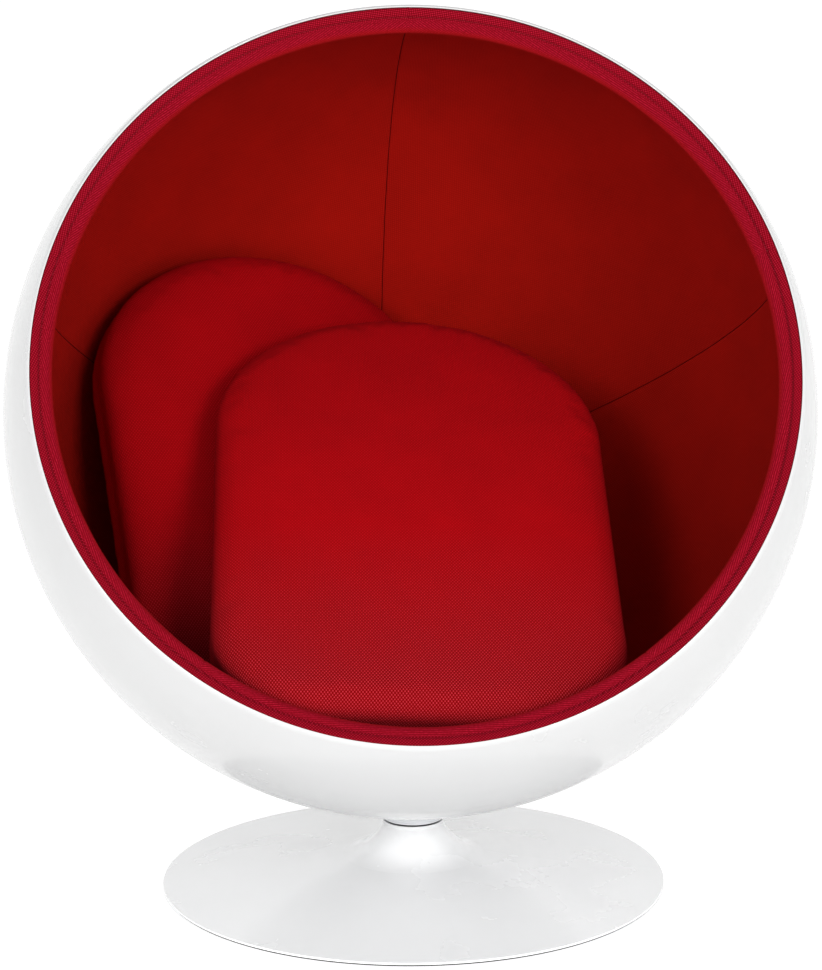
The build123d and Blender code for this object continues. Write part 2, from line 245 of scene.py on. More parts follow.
def noise_field(tree, vector, scale, detail=3.0, roughness=0.55):
    """Value of a noise texture at a vector."""
    node = tree.nodes.new("ShaderNodeTexNoise")
    node.inputs["Scale"].default_value = scale
    node.inputs["Detail"].default_value = detail
    node.inputs["Roughness"].default_value = roughness
    tree.links.new(vector, node.inputs["Vector"])
    return node.outputs["Fac"]


def mix_colour(tree, factor, low, high):
    """Colour between two colours or sockets."""
    node = tree.nodes.new("ShaderNodeMix")
    node.data_type = "RGBA"
    tree.links.new(factor, node.inputs["Factor"])
    for socket, value in ((node.inputs["A"], low), (node.inputs["B"], high)):
        if isinstance(value, bpy.types.NodeSocket):
            tree.links.new(value, socket)
        else:
            socket.default_value = (*value, 1)
    return node.outputs["Result"]


def bump(tree, shader, height, distance, strength=1.0):
    """Surface relief from a height field, on top of any relief already there."""
    node = tree.nodes.new("ShaderNodeBump")
    node.inputs["Distance"].default_value = distance
    node.inputs["Strength"].default_value = strength
    tree.links.new(height, node.inputs["Height"])
    if shader.inputs["Normal"].is_linked:
        tree.links.new(shader.inputs["Normal"].links[0].from_socket, node.inputs["Normal"])
    tree.links.new(node.outputs["Normal"], shader.inputs["Normal"])


def spread(tree, value, low, high, new_low=0.0, new_high=1.0):
    """Value remapped from one range to another, held at its ends."""
    node = tree.nodes.new("ShaderNodeMapRange")
    tree.links.new(value, node.inputs["Value"])
    node.inputs["From Min"].default_value = low
    node.inputs["From Max"].default_value = high
    node.inputs["To Min"].default_value = new_low
    node.inputs["To Max"].default_value = new_high
    return node.outputs["Result"]


def wool(name, ground):
    """Matt wool with a faint red sheen: material, tree, shader and its place on the cloth."""
    material, tree, shader = new_material(name, ground, 0.9)
    shader.inputs["Specular IOR Level"].default_value = 0.06
    shader.inputs["Sheen Weight"].default_value = 0.03
    shader.inputs["Sheen Roughness"].default_value = 0.4
    shader.inputs["Sheen Tint"].default_value = (1.0, 0.1, 0.2, 1)
    uv = place_in(tree, "UV")
    split = tree.nodes.new("ShaderNodeSeparateXYZ")
    tree.links.new(uv, split.inputs[0])
    return material, tree, shader, uv, split.outputs


def thread_wobble(tree, uv):
    """How far the threads wander from straight lines, as a phase."""
    field = noise_field(tree, uv, WOBBLE_SCALE)
    return maths(tree, "MULTIPLY", maths(tree, "SUBTRACT", field, 0.5), WOBBLE)


def crossing_threads(tree, axes, pitches, wobble):
    """Product of two waves along U and V: high where a thread lies on top."""
    waves = []
    for axis, pitch in zip(axes, pitches):
        phase = maths(tree, "MULTIPLY", axis, math.pi / pitch)
        waves.append(maths(tree, "SINE", maths(tree, "ADD", phase, wobble)))
    return maths(tree, "MULTIPLY", waves[0], waves[1])


def uneven(tree, raised, slub):
    """Raised threads, fainter where the yarn is thin."""
    return maths(tree, "MULTIPLY", raised, spread(tree, slub, 0.25, 0.7, 0.55, 1.0))


def woven(name, ground, thread, painted_highlight_thread=None):
    """Plain-weave wool: raised threads over a darker ground; the threads' lighter pink is painted
    highlight on their tops, over the real weave and its bump.

    The last colour given is the threads' colour towards the end of the cloth where V is nothing: a
    stronger painted highlight on the threads, with the ground darkened there as painted shade.
    """
    material, tree, shader, uv, axes = wool(name, ground)
    wobble = thread_wobble(tree, uv)
    lattice = crossing_threads(tree, axes, (THREAD_ACROSS, THREAD_ALONG), wobble)
    slub = noise_field(tree, uv, SLUB_SCALE, 2.0)
    blotch = noise_field(tree, uv, BLOTCH_SCALE, 4.0)
    raised = uneven(tree, spread(tree, lattice, *THREAD_CREST), slub)
    shade = mix_colour(tree, spread(tree, blotch, 0.3, 0.7), darker(ground, BLOTCH_SHADE), ground)
    # Towards the end where V is nothing the threads get lighter as painted highlight and the
    # ground darker as painted shade.
    if painted_highlight_thread:
        wear_and_painted_light = spread(tree, axes[1], PAINTED_LIGHT_FULL_TO, PAINTED_LIGHT_GONE_FROM)
        thread = mix_colour(tree, wear_and_painted_light, painted_highlight_thread, thread)
        shade = mix_colour(tree, wear_and_painted_light, darker(ground, PAINTED_SHADE_SHARE), shade)
    tree.links.new(mix_colour(tree, raised, shade, thread), shader.inputs["Base Color"])
    bump(tree, shader, maths(tree, "POWER", maths(tree, "ABSOLUTE", lattice), 0.6), THREAD_HEIGHT)
    bump(tree, shader, blotch, BLOTCH_HEIGHT, 0.5)
    return material


def ribbed_wool(name, ground, thread, lining_ground, lining_thread):
    """The rim's wool: dotted weave on the strip, ribs on the roll, fading into the lining; the
    dots' and ribs' lighter pink is painted highlight on the raised threads.

    The UV map is a flat ring, so its length tells how far in a point lies.
    """
    material, tree, shader, uv, axes = wool(name, ground)
    ring = tree.nodes.new("ShaderNodeVectorMath")
    ring.operation = "LENGTH"
    tree.links.new(uv, ring.inputs[0])
    inward = maths(tree, "SUBTRACT", RIM_CIRCLE, ring.outputs["Value"])
    wobble = thread_wobble(tree, uv)
    lattice = crossing_threads(tree, axes, (RIM_THREAD, RIM_THREAD), wobble)
    dots = spread(tree, lattice, *THREAD_CREST)
    phase = maths(tree, "MULTIPLY", axes[1], 2 * math.pi / RIB_PITCH)
    ribs = maths(tree, "SINE", maths(tree, "ADD", phase, maths(tree, "MULTIPLY", wobble, 1.6)))
    slub = noise_field(tree, uv, SLUB_SCALE, 2.0)
    breaks = spread(tree, slub, 0.3, 0.62, 0.35, 1.0)
    broken = maths(tree, "MULTIPLY", spread(tree, ribs, -0.4, 1.3, 0.1, 0.9), breaks)
    on_roll = spread(tree, inward, ROLL_FROM, ROLL_FROM + ROLL_BLEND)
    either = tree.nodes.new("ShaderNodeMix")
    for number, value in ((0, on_roll), (2, dots), (3, broken)):
        tree.links.new(value, either.inputs[number])
    relief = either.outputs[0]
    fade = spread(tree, inward, FADE_FROM, FADE_TO)
    low = mix_colour(tree, fade, ground, lining_ground)
    high = mix_colour(tree, fade, thread, lining_thread)
    tint = mix_colour(tree, uneven(tree, relief, slub), low, high)
    tree.links.new(tint, shader.inputs["Base Color"])
    bump(tree, shader, relief, RIM_THREAD_HEIGHT)
    bump(tree, shader, noise_field(tree, uv, BLOTCH_SCALE, 4.0), BLOTCH_HEIGHT, 0.5)
    return material


def lacquer(name, colour, roughness=0.22):
    """Glossy paint or gel coat, a little duller and darker in soft patches."""
    material, tree, shader = new_material(name, colour, roughness, coat=0.6)
    place = place_in(tree, "Object")
    wear_and_painted_light = noise_field(tree, place, 6, 5.0)
    gloss = spread(tree, wear_and_painted_light, 0.3, 0.75, roughness * 0.8, roughness * 1.35)
    tree.links.new(gloss, shader.inputs["Roughness"])
    tint = mix_colour(tree, spread(tree, wear_and_painted_light, 0.35, 0.75), colour, darker(colour, 0.975))
    tree.links.new(tint, shader.inputs["Base Color"])
    bump(tree, shader, noise_field(tree, place, 260, 1.0), 0.00001, 0.1)
    return material


def turned_metal(name, colour, roughness):
    """Bare or plated metal with fine tool marks."""
    material, tree, shader = new_material(name, colour, roughness, metallic=1.0)
    place = place_in(tree, "Object")
    marks = noise_field(tree, place, 900, 2.0)
    gloss = spread(tree, marks, 0.3, 0.7, roughness * 0.7, roughness * 1.4)
    tree.links.new(gloss, shader.inputs["Roughness"])
    bump(tree, shader, marks, 0.00005, 0.5)
    return material


def grained(name, colour, roughness, scale, depth):
    """Cast, moulded or foamed material with a grainy surface."""
    material, tree, shader = new_material(name, colour, roughness)
    place = place_in(tree, "Object")
    grain = noise_field(tree, place, scale, 6.0, 0.7)
    tint = mix_colour(tree, spread(tree, grain, 0.3, 0.7), darker(colour, 0.75), colour)
    tree.links.new(tint, shader.inputs["Base Color"])
    bump(tree, shader, grain, depth, 0.8)
    return material


# The cushion's last colour is a painted highlight on its threads towards the square end, with
# painted shade on the ground there.
CUSHION_WOOL = woven(
    "cushion_wool", (0.42, 0.003, 0.005), (0.58, 0.012, 0.030), painted_highlight_thread=(0.60, 0.060, 0.092)
)
# In each wool the second colour is the raised threads' lighter tone: painted highlight on the
# thread tops.
LINING_COLOURS = ((0.46, 0.013, 0.006), (0.58, 0.025, 0.015))
LINING_WOOL = woven("lining_wool", *LINING_COLOURS)
# Dark wool for the gores' edge rows: painted shadow in the seams' grooves.
SEAM_SHADOW_WOOL = woven("seam_painted_shadow_wool", (0.10, 0.001, 0.001), (0.16, 0.002, 0.002))
RIM_WOOL = ribbed_wool(
    "rim_wool", (0.20, 0.0015, 0.008), (0.53, 0.026, 0.075), *LINING_COLOURS
)
THREAD = grained("sewing_thread", (0.30, 0.01, 0.02), 0.7, 3000, 0.0001)
FOAM = grained("foam", (0.72, 0.64, 0.42), 0.95, 700, 0.0006)
GEL_COAT = lacquer("gel_coat", (0.635, 0.636, 0.638))
ENAMEL = lacquer("enamel", (0.87, 0.872, 0.877), 0.24)
# The collar's white enamel, made greyer than the pedestal's as painted shade under the ball.
ENAMEL_PAINTED_SHADE = lacquer("enamel_painted_shade", (0.74, 0.75, 0.77), 0.25)
STEEL = turned_metal("steel", (0.56, 0.56, 0.58), 0.28)
ZINC = turned_metal("zinc", (0.62, 0.63, 0.66), 0.38)
RUBBER = grained("rubber", (0.02, 0.02, 0.02), 0.75, 500, 0.0002)
BUSH = grained("bush_plastic", (0.03, 0.03, 0.032), 0.5, 900, 0.0001)
CAST = grained("cast_iron", (0.05, 0.05, 0.053), 0.6, 350, 0.0006)
TAPE = grained("zip_tape", (0.17, 0.004, 0.010), 0.8, 900, 0.0003)

NODE_FINISH = {
    "pedestal": ENAMEL,
    "collar": ENAMEL_PAINTED_SHADE,
    "lining_foam": FOAM,
    "foot_ring": RUBBER,
    "spindle": STEEL,
    "mounting_plate": STEEL,
    "mounting_screws": ZINC,
    "retaining_washer": ZINC,
    "circlip": ZINC,
    "ballast_screws": ZINC,
    "upper_bush": BUSH,
    "lower_bush": BUSH,
    "thrust_washer": BUSH,
    "hub": CAST,
    "ballast_plate": CAST,
}

for name in ("seat_cushion", "back_cushion"):
    NODE_FINISH[f"{name}_zip"] = TAPE
    NODE_FINISH[f"{name}_zip_slider"] = ZINC

for node, finish in NODE_FINISH.items():
    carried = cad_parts[node]
    carried.data.materials.clear()
    carried.data.materials.append(finish)


# ==== Mesh helpers ===================================================================


def mesh_object(name, points, faces, material, uv=None):
    """A new smooth mesh object; uv gives each point its place on the flat cloth, in metres."""
    mesh = bpy.data.meshes.new(name)
    mesh.from_pydata([tuple(p) for p in points], [], faces)
    mesh.materials.append(material)
    mesh.shade_smooth()
    if uv is not None:
        lay_cloth(mesh, uv)
    piece = bpy.data.objects.new(name, mesh)
    bpy.context.scene.collection.objects.link(piece)
    return piece


def lay_cloth(mesh, uv):
    """Write each point's place on the flat cloth to the UV map."""
    layer = mesh.uv_layers.new(name="cloth")
    corners = np.empty(len(mesh.loops), dtype=np.int32)
    mesh.loops.foreach_get("vertex_index", corners)
    layer.data.foreach_set("uv", np.array(uv, dtype=np.float32)[corners].ravel())


def grid_faces(rows, columns, closed=False):
    """Quads of a grid of points, row after row; closed joins the last column to the first."""
    faces = []
    for row in range(rows - 1):
        for column in range(columns if closed else columns - 1):
            after = (column + 1) % columns
            low, high = row * columns, (row + 1) * columns
            faces.append((low + column, low + after, high + after, high + column))
    return faces


# ==== Shell ==========================================================================


def shell_section():
    """Half-section of the shell, (radius, depth) about the opening's axis, from pole to pole.

    It runs up the outside, round the lip, down into the rebate and back along the inside.
    """
    tip = math.radians(RIM_ANGLE)
    sine, cosine = math.sin(tip), math.cos(tip)

    def at_lip(along, out):
        return along * sine - out * cosine, along * cosine + out * sine

    outer_end = tip + LIP_BACK / BALL_RADIUS
    inner_end = tip + REBATE_DEPTH / SHELL_INSIDE
    outer_nose = LIP_WIDTH * LIP_OUTER_SHARE
    inner_nose = LIP_WIDTH - outer_nose
    section = []
    for row in range(1, SHELL_ROWS + 1):
        angle = math.pi + (outer_end - math.pi) * row / SHELL_ROWS
        section.append((BALL_RADIUS * math.sin(angle), BALL_RADIUS * math.cos(angle)))
    for step in range(1, 13):
        angle = math.pi / 2 * step / 12
        along = BALL_RADIUS - outer_nose + outer_nose * math.cos(angle)
        section.append(at_lip(along, -LIP_BACK + (LIP_BACK + LIP_PROUD) * math.sin(angle)))
    for step in range(1, 7):
        angle = math.pi / 2 * (1 + step / 6)
        along = LIP_INSIDE + inner_nose + inner_nose * math.cos(angle)
        section.append(at_lip(along, LIP_PROUD - inner_nose * (1 - math.sin(angle))))
    section.append(at_lip(LIP_INSIDE, -LIP_BACK + 0.0005))
    section.append(at_lip(LIP_INSIDE - REBATE_BEVEL, -LIP_BACK))
    for row in range(SHELL_ROWS):
        angle = inner_end + (math.pi - inner_end) * row / SHELL_ROWS
        section.append((SHELL_INSIDE * math.sin(angle), SHELL_INSIDE * math.cos(angle)))
    return section


def moulded_shell():
    """The moulded ball, whose lip is rounded outside and rebated inside for the rim's strip."""
    right, up, forward = OPENING
    section = shell_section()
    points = []
    for radius, depth in section:
        for column in range(SHELL_COLUMNS):
            turn = 2 * math.pi * column / SHELL_COLUMNS
            radial = right * math.cos(turn) + up * math.sin(turn)
            points.append(CENTRE + radial * radius + forward * depth)
    faces = grid_faces(len(section), SHELL_COLUMNS, closed=True)
    last_ring = (len(section) - 1) * SHELL_COLUMNS
    for ring, pole, turned in ((0, -BALL_RADIUS, False), (last_ring, -SHELL_INSIDE, True)):
        points.append(CENTRE + forward * pole)
        for column in range(SHELL_COLUMNS):
            face = (ring + column, len(points) - 1, ring + (column + 1) % SHELL_COLUMNS)
            faces.append(tuple(reversed(face)) if turned else face)
    piece = mesh_object("moulded_shell", points, faces, GEL_COAT)
    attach(piece, "ball_body")
    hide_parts("shell")


moulded_shell()


# ==== Lining =========================================================================


def reach_of(direction):
    """How far a gore reaches from the cap's pole, in radians, before the rim covers it."""
    low, high = 0.3, math.pi
    for _ in range(24):
        middle = (low + high) / 2
        way = -CAP[2] * math.cos(middle) + direction * math.sin(middle)
        if way.angle(OPENING[2]) > math.radians(LINING_END):
            low = middle
        else:
            high = middle
    return low


def lining_panel(number):
    """One gore of the lining, whose edges fold down to the foam along its two seams."""
    start = FIRST_SEAM + number * SEAM_ANGLE
    middle = math.radians(start + SEAM_ANGLE / 2)
    points = []
    cloth = []
    for column in range(LINING_COLUMNS + 1):
        even = min(1.0, max(0.0, (column - 1) / (LINING_COLUMNS - 2)))
        eased = 0.5 - 0.5 * math.cos(math.pi * even)
        turn = math.radians(start + eased * SEAM_ANGLE)
        reach = reach_of(CAP[0] * math.cos(turn) + CAP[1] * math.sin(turn))
        for row in range(LINING_ROWS + 1):
            arc = GORE_TIP + (reach - GORE_TIP) * row / LINING_ROWS
            width = math.radians(SEAM_ANGLE) * math.sin(arc) * LINING_INSIDE
            fold = min(0.1, LINING_FOLD / width)
            share = fold + (1 - 2 * fold) * eased if 0 < column < LINING_COLUMNS else even
            turn = math.radians(start + share * SEAM_ANGLE)
            direction = CAP[0] * math.cos(turn) + CAP[1] * math.sin(turn)
            way = -CAP[2] * math.cos(arc) + direction * math.sin(arc)
            edge = min(share, 1 - share) * width
            ripple = LINING_RIPPLE * noise.noise(way * RIPPLE_SCALE)
            dip = LINING_SEAM * math.exp(-((edge / SEAM_SPREAD) ** 2))
            radius = LINING_INSIDE + dip + ripple
            points.append(CENTRE + way * radius)
            flat = arc * LINING_INSIDE
            cloth.append((flat * math.sin(turn - middle), flat * math.cos(turn - middle)))
    faces = grid_faces(LINING_COLUMNS + 1, LINING_ROWS + 1)
    piece = mesh_object(f"lining_gore_{number + 1}", points, faces, LINING_WOOL, cloth)
    # The first and last strips of quads take the dark seam wool: painted shadow along the seams.
    piece.data.materials.append(SEAM_SHADOW_WOOL)
    for polygon in piece.data.polygons[:LINING_ROWS] + piece.data.polygons[-LINING_ROWS:]:
        polygon.material_index = 1
    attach(piece, "ball_body")
    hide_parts(f"lining_panel_{number + 1}")


for number in range(PANELS):
    lining_panel(number)


# ==== Rim upholstery =================================================================


def rim_profile(inset=0.0):
    """Section of the rim's cover: strip, stitched groove, padded roll, fade into the lining.

    Each point is (along the line from the ball's centre to the rim, out of the rim).
    """
    strip_inside = STRIP_OUTSIDE - STRIP_WIDTH
    roll = (strip_inside - ROLL_RADIUS, STRIP_PROUD - ROLL_RADIUS)
    section = []
    for share, fold in STRIP_FOLDS:
        lift = STRIP_CROWN * math.sin(math.pi * share) - fold
        section.append((STRIP_OUTSIDE - STRIP_WIDTH * share, STRIP_PROUD + lift - inset))
    section.append((strip_inside + 0.0002, STRIP_PROUD - GROOVE_SHOULDER - inset))
    section.append((strip_inside - GROOVE_SHOULDER, STRIP_PROUD - GROOVE_DEPTH - inset))
    for step in range(ROLL_STEPS + 1):
        angle = math.radians(ROLL_START + (ROLL_END - ROLL_START) * step / ROLL_STEPS)
        radius = ROLL_RADIUS - inset
        section.append((roll[0] + radius * math.cos(angle), roll[1] + radius * math.sin(angle)))
    last = section[-1]
    end = (math.sqrt(LINING_INSIDE**2 - TRIM_DEPTH**2) + 0.001, -TRIM_DEPTH - TRIM_TUCK)
    for step in range(1, TAIL_STEPS + 1):
        share = step / TAIL_STEPS
        ease = math.sin(share * math.pi / 2)
        section.append((last[0] + (end[0] - last[0]) * ease, last[1] + (end[1] - last[1]) * share))
    return section


def rim_point(turn, along, out):
    """A point of the rim at an angle round the opening, from its place in the section."""
    right, up, forward = OPENING
    radial = right * math.cos(turn) + up * math.sin(turn)
    tip = math.radians(RIM_ANGLE)
    to_rim = radial * math.sin(tip) + forward * math.cos(tip)
    outward = forward * math.sin(tip) - radial * math.cos(tip)
    return CENTRE + to_rim * along + outward * out


def rim_cover(number):
    """One sewn length of the rim's cover, cut from flat cloth, tucked in at both joints."""
    start = FIRST_SEAM + number * SEAM_ANGLE
    middle = math.radians(start + SEAM_ANGLE / 2)
    section = rim_profile()
    lengths = [0.0]
    for before, after in zip(section, section[1:]):
        lengths.append(lengths[-1] + math.dist(before, after))
    points = []
    cloth = []
    for column in range(RIM_COLUMNS + 1):
        share = column / RIM_COLUMNS
        edge = min(share, 1 - share) * math.radians(SEAM_ANGLE) * RIM_CIRCLE
        turn = math.radians(start + share * SEAM_ANGLE)
        dip = JOINT_DIP * math.exp(-((edge / SEAM_SPREAD) ** 2))
        for (along, out), length in zip(section, lengths):
            spot = Vector((math.cos(turn), math.sin(turn), length * 8)) * 14
            ripple = RIM_RIPPLE * noise.noise(spot)
            points.append(rim_point(turn, along + dip, out + ripple - dip))
            flat = RIM_CIRCLE - length
            cloth.append((flat * math.sin(turn - middle), flat * math.cos(turn - middle)))
    faces = grid_faces(RIM_COLUMNS + 1, len(section))
    piece = mesh_object(f"rim_length_{number + 1}", points, faces, RIM_WOOL, cloth)
    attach(piece, "ball_body")
    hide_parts(f"rim_cover_{number + 1}")


def rim_core():
    """The foam under the rim's cover."""
    behind = SHELL_INSIDE - PADDING_GAP
    section = rim_profile(RIM_PADDING)
    section += [(behind, -TRIM_DEPTH), (behind, -REBATE_DEPTH - PADDING_GAP)]
    points = []
    for column in range(PADDING_COLUMNS):
        turn = 2 * math.pi * column / PADDING_COLUMNS
        points += [rim_point(turn, along, out) for along, out in section]
    count = len(section)
    faces = []
    for column in range(PADDING_COLUMNS):
        here, there = column * count, (column + 1) % PADDING_COLUMNS * count
        for row in range(count):
            below = (row + 1) % count
            faces.append((here + row, there + row, there + below, here + below))
    piece = mesh_object("rim_padding", points, faces, FOAM)
    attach(piece, "ball_body")
    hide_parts("rim_foam")


def rim_stitches():
    """A lockstitch that sinks into the groove between strip and roll."""
    along = STRIP_OUTSIDE - STRIP_WIDTH - 0.0004
    out = STRIP_PROUD - GROOVE_DEPTH + STITCH_HEIGHT
    circle = 2 * math.pi * along * math.sin(math.radians(RIM_ANGLE))
    count = round(circle / STITCH_PITCH)
    points = []
    faces = []
    for stitch in range(count):
        first = len(points)
        for step in range(5):
            share = step / 4
            turn = 2 * math.pi * (stitch + STITCH_GAP + (1 - 2 * STITCH_GAP) * share) / count
            rise = STITCH_BOW * math.sin(math.pi * share)
            girth = STITCH_RADIUS * (0.35 + 0.65 * math.sin(math.pi * (0.12 + 0.76 * share)))
            for side in range(6):
                angle = math.pi * side / 3
                across, upward = girth * math.cos(angle), girth * math.sin(angle)
                points.append(rim_point(turn, along + across, out + rise + upward))
        faces += [tuple(first + i for i in face) for face in grid_faces(5, 6, closed=True)]
        faces.append(tuple(first + side for side in range(5, -1, -1)))
        faces.append(tuple(first + 24 + side for side in range(6)))
    piece = mesh_object("rim_stitching", points, faces, THREAD)
    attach(piece, "ball_body")


for number in range(PANELS):
    rim_cover(number)
rim_core()
rim_stitches()


# ==== Cushions =======================================================================


def outline(count=OUTLINE_POINTS):
    """Points round the cushion's pattern: one square end with round corners, one round end."""
    half = CUSHION_WIDTH / 2
    step_across = half - SHOULDER_RADIUS
    step_along = math.sqrt((CROWN_RADIUS - SHOULDER_RADIUS) ** 2 - step_across**2)
    turn = math.atan2(step_along, step_across)
    crown_y = CUSHION_LENGTH - CROWN_RADIUS
    corner = (half - CORNER_RADIUS, CORNER_RADIUS)
    shoulder = (step_across, crown_y + step_along)

    def arc(middle, radius, start, end, steps=40):
        angles = np.linspace(start, end, steps)
        x, y = middle
        return [(x + radius * math.cos(a), y + radius * math.sin(a)) for a in angles]

    right = [(0, 0)] + arc(corner, CORNER_RADIUS, -math.pi / 2, 0)
    right += arc(shoulder, SHOULDER_RADIUS, 0, turn)
    right += arc((0, crown_y), CROWN_RADIUS, turn, math.pi / 2)
    left = [(-x, y) for x, y in reversed(right[1:-1])]
    loop = np.array(right + left)
    steps = np.hypot(*(np.roll(loop, -1, axis=0) - loop).T)
    total = np.concatenate([[0], np.cumsum(steps)])
    places = np.linspace(0, total[-1], count, endpoint=False)
    closed = np.vstack([loop, loop[:1]])
    return np.column_stack([np.interp(places, total, closed[:, i]) for i in (0, 1)]), total[-1]


OUTLINE, GIRTH = outline()


def cushion_blank():
    """The cushion's closed form before it is filled: its faces start a little low."""
    half = CUSHION_WIDTH / 2
    flat = 1 - EDGE_RADIUS / half
    upper = []
    for step in range(FACE_RINGS):
        part_way = math.sin(math.pi / 2 * (step + 0.5) / FACE_RINGS)
        upper.append((part_way * flat, BOXING / 2 + CROWN * (1 - part_way**2)))
    for step in range(EDGE_STEPS + 1):
        angle = math.pi / 2 * step / EDGE_STEPS
        inward = EDGE_RADIUS * (1 - math.sin(angle))
        upper.append((1 - inward / half, BOXING / 2 - EDGE_RADIUS * (1 - math.cos(angle))))
    waist = [(1 - DRAWN_IN / half, 0.0)]
    lower = [(scale, -height) for scale, height in reversed(upper)]
    rings = upper + waist + lower
    middle = np.array([0, CUSHION_MIDDLE])
    squeeze = 1 - SWELL_ROOM / (BOXING / 2 + CROWN)
    points = []
    for scale, height in rings:
        ring = middle + scale * (OUTLINE - middle)
        points += [(x, y, height * squeeze) for x, y in ring]
    count = len(OUTLINE)
    faces = grid_faces(len(rings), count, closed=True)
    faces.append(tuple(range(count)))
    faces.append(tuple(range(len(points) - 1, len(points) - count - 1, -1)))
    faces = [tuple(reversed(face)) for face in faces]
    return mesh_object("cushion_blank", points, faces, CUSHION_WOOL)


def apply_modifiers(piece):
    """Apply a piece's modifiers to its mesh."""
    depsgraph = bpy.context.evaluated_depsgraph_get()
    mesh = bpy.data.meshes.new_from_object(piece.evaluated_get(depsgraph))
    piece.modifiers.clear()
    piece.data = mesh


def fill(piece):
    """Fill the sewn cover: remesh it, blow it up as cloth and hold how far it may move."""
    remesh = piece.modifiers.new("even", "REMESH")
    remesh.mode = "VOXEL"
    remesh.voxel_size = VOXEL
    apply_modifiers(piece)
    smooth = piece.modifiers.new("ease", "SMOOTH")
    smooth.factor = 0.5
    smooth.iterations = SMOOTHINGS
    apply_modifiers(piece)
    count = len(piece.data.vertices)
    before = np.empty(count * 3)
    piece.data.vertices.foreach_get("co", before)
    cloth = piece.modifiers.new("filling", "CLOTH")
    cloth.settings.use_pressure = True
    cloth.settings.uniform_pressure_force = PRESSURE
    cloth.settings.effector_weights.gravity = 0
    cloth.settings.quality = 5
    cloth.settings.tension_stiffness = 25
    cloth.settings.compression_stiffness = 12
    cloth.settings.shrink_min = -0.012
    scene = bpy.context.scene
    for step in range(1, FILLING_FRAMES + 1):
        scene.frame_set(step)
    depsgraph = bpy.context.evaluated_depsgraph_get()
    after = np.empty(count * 3)
    piece.evaluated_get(depsgraph).data.vertices.foreach_get("co", after)
    piece.modifiers.clear()
    scene.frame_set(1)
    move = (after - before).reshape(-1, 3)
    size = np.linalg.norm(move, axis=1, keepdims=True)
    move *= np.minimum(1, SWELL_CAP / np.maximum(size, 1e-9))
    piece.data.vertices.foreach_set("co", (before.reshape(-1, 3) + move).ravel())
    piece.data.update()


def fit_pattern(mesh):
    """Stretch the filled form in its own plane back to its width and length when sewn."""
    count = len(mesh.vertices)
    places = np.empty(count * 3)
    mesh.vertices.foreach_get("co", places)
    places = places.reshape(-1, 3)
    low, high = places.min(axis=0), places.max(axis=0)
    for axis, size in ((0, CUSHION_WIDTH), (1, FILLED_LENGTH)):
        middle = 0 if axis == 0 else size / 2
        found = (low[axis] + high[axis]) / 2
        places[:, axis] = middle + (places[:, axis] - found) * size / (high[axis] - low[axis])
    mesh.vertices.foreach_set("co", places.ravel())
    mesh.update()


def pose_matrix(place, incline, turn, lean):
    """Where a cushion lies: its face inclined back, turned to one side and leaned over."""
    turning = Matrix.Rotation(math.radians(turn), 3, "Z")
    tilt = math.radians(incline)
    normal = turning @ Vector((0, -math.sin(tilt), math.cos(tilt)))
    across = Matrix.Rotation(math.radians(lean), 3, normal) @ (turning @ Vector((1, 0, 0)))
    along = normal.cross(across)
    matrix = Matrix.Identity(4)
    for column, direction in enumerate((across, along, normal)):
        for row in range(3):
            matrix[row][column] = direction[row]
    matrix.translation = Vector(place) - normal * (BOXING / 2)
    return matrix


def cut_loops(mesh, heights):
    """Add edge loops round the cushion at the given heights."""
    work = bmesh.new()
    work.from_mesh(mesh)
    for height in heights:
        geometry = work.verts[:] + work.edges[:] + work.faces[:]
        bmesh.ops.bisect_plane(work, geom=geometry, plane_co=(0, 0, height), plane_no=(0, 0, 1))
    work.to_mesh(mesh)
    work.free()


def part_between(source, low, high, name):
    """A copy of the part of a mesh between two heights."""
    work = bmesh.new()
    work.from_mesh(source)
    outside = [f for f in work.faces if not low < f.calc_center_median().z < high]
    bmesh.ops.delete(work, geom=outside, context="FACES")
    mesh = bpy.data.meshes.new(name)
    work.to_mesh(mesh)
    work.free()
    return mesh


def outline_finder():
    """The nearest place on the pattern's outline to a point, and the way out of it there."""
    ahead = np.roll(OUTLINE, -1, axis=0) - np.roll(OUTLINE, 1, axis=0)
    outward = np.column_stack([ahead[:, 1], -ahead[:, 0]])
    outward /= np.linalg.norm(outward, axis=1, keepdims=True)
    tree = kdtree.KDTree(len(OUTLINE))
    for number, (x, y) in enumerate(OUTLINE):
        tree.insert((x, y, 0), number)
    tree.balance()

    def find(point):
        number = tree.find((point.x, point.y, 0))[1]
        return number * GIRTH / len(OUTLINE), Vector((*outward[number], 0))

    return find


def unrolled(point, outward, height):
    """Place of a point on the flat cloth, which goes over the edge and down the side.

    height is measured from half way down the side towards the cloth's own face.
    """
    start = BOXING / 2 - EDGE_RADIUS
    angle = math.acos(min(1.0, max(0.0, (height - start) / EDGE_RADIUS)))
    beyond = EDGE_RADIUS * (angle - math.sin(angle)) + max(0.0, start - height)
    return (point.x + outward.x * beyond, point.y + outward.y * beyond)


def sew_seam(mesh, find):
    """Draw the cover in along the seam, with short puckers running up from it."""
    for vertex in mesh.vertices:
        height = vertex.co.z + SEAM_HEIGHT
        if height < -2 * SEAM_REACH or height > PUCKER_REACH:
            continue
        place, outward = find(vertex.co)
        pull = SEAM_DEPTH * math.exp(-((height / SEAM_REACH) ** 2))
        spot = Vector((place * PUCKERS_ALONG, height * PUCKERS_UP, 3))
        gather = PUCKER * noise.noise(spot) * max(0.0, 1 - abs(height) / PUCKER_REACH) ** 2
        vertex.co -= outward * (pull + gather)


